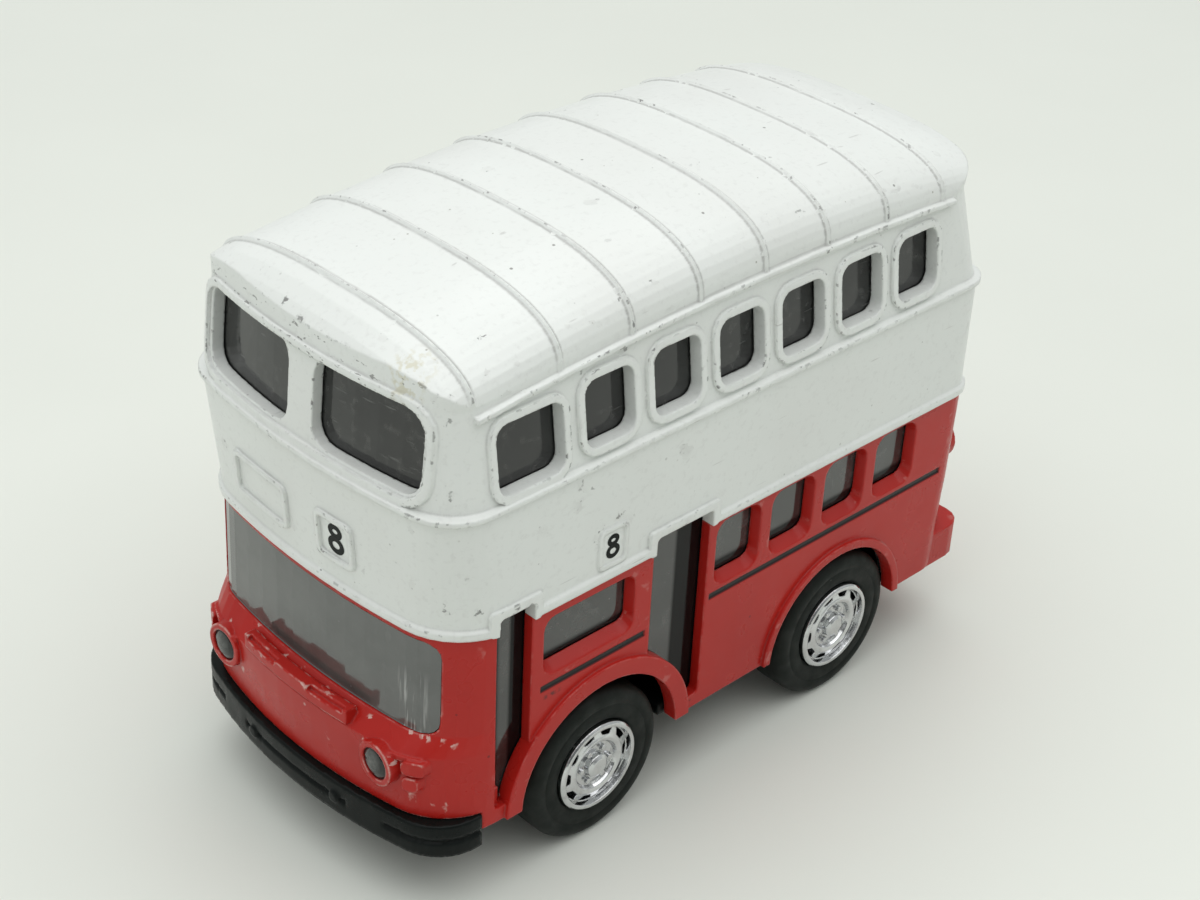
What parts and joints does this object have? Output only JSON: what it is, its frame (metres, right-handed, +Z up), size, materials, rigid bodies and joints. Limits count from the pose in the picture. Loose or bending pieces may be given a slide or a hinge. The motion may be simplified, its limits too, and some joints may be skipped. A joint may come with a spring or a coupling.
{
  "type": "toy bus",
  "caption": "Squat die-cast toy double-deck bus with a ribbed white roof on a red lower body, smoke windows, and chrome hubs in rubber tyres driven by a pull-back motor.",
  "frame": {"origin": "on the ground below the middle of the bus's length and width", "axes": "+X forward, +Y to the left, where the doors are, +Z up"},
  "size_m": [0.1006, 0.0496, 0.0782],
  "materials": {
    "white_paint": "gloss",
    "red_paint": "gloss",
    "smoke_plastic": "gloss",
    "grey_plastic": "gloss",
    "lens_plastic": "gloss",
    "black_plastic": "satin",
    "motor_plastic": "satin",
    "gear_plastic": "satin",
    "hub_chrome": "polished",
    "tyre_rubber": "matte",
    "steel": "satin"
  },
  "bodies": {
    "chassis": {"upper_casting": "white_paint", "lower_casting": "red_paint", "upper_glazing": "smoke_plastic", "lower_glazing": "grey_plastic", "windscreen": "grey_plastic", "headlight_lens_left": "lens_plastic", "headlight_lens_right": "lens_plastic", "base_plate": "black_plastic", "body_screws": "steel", "motor_case_left": "motor_plastic", "motor_case_right": "motor_plastic", "motor_screws": "steel"},
    "front_axle_set": {"front_axle": "steel", "hub_front_left": "hub_chrome", "hub_front_right": "hub_chrome", "tyre_front_left": "tyre_rubber", "tyre_front_right": "tyre_rubber"},
    "rear_axle_set": {"rear_axle": "steel", "hub_rear_left": "hub_chrome", "hub_rear_right": "hub_chrome", "tyre_rear_left": "tyre_rubber", "tyre_rear_right": "tyre_rubber", "axle_pinion": "steel"},
    "idler": {"idler_gear": "gear_plastic"},
    "drum": {"spring_drum": "gear_plastic", "mainspring": "steel"}
  },
  "joints": [
    {"name": "front_axle_spin", "type": "hinge", "parent": "chassis", "child": "front_axle_set", "pos_m": [0.02165, 0, 0.0107], "axis": [0, 1, 0], "continuous": true},
    {"name": "rear_axle_spin", "type": "hinge", "parent": "chassis", "child": "rear_axle_set", "pos_m": [-0.02235, 0, 0.0107], "axis": [0, 1, 0], "continuous": true},
    {"name": "idler_spin", "type": "hinge", "parent": "chassis", "child": "idler", "pos_m": [-0.01414, 0, 0.0129], "axis": [0, 1, 0], "continuous": true},
    {"name": "drum_spin", "type": "hinge", "parent": "chassis", "child": "drum", "pos_m": [-0.02131, 0, 0.02314], "axis": [0, 1, 0], "continuous": true}
  ],
  "couplings": [
    {"joint": "idler_spin", "follows": "rear_axle_spin", "ratio": -0.7},
    {"joint": "drum_spin", "follows": "rear_axle_spin", "ratio": 0.46667}
  ]
}
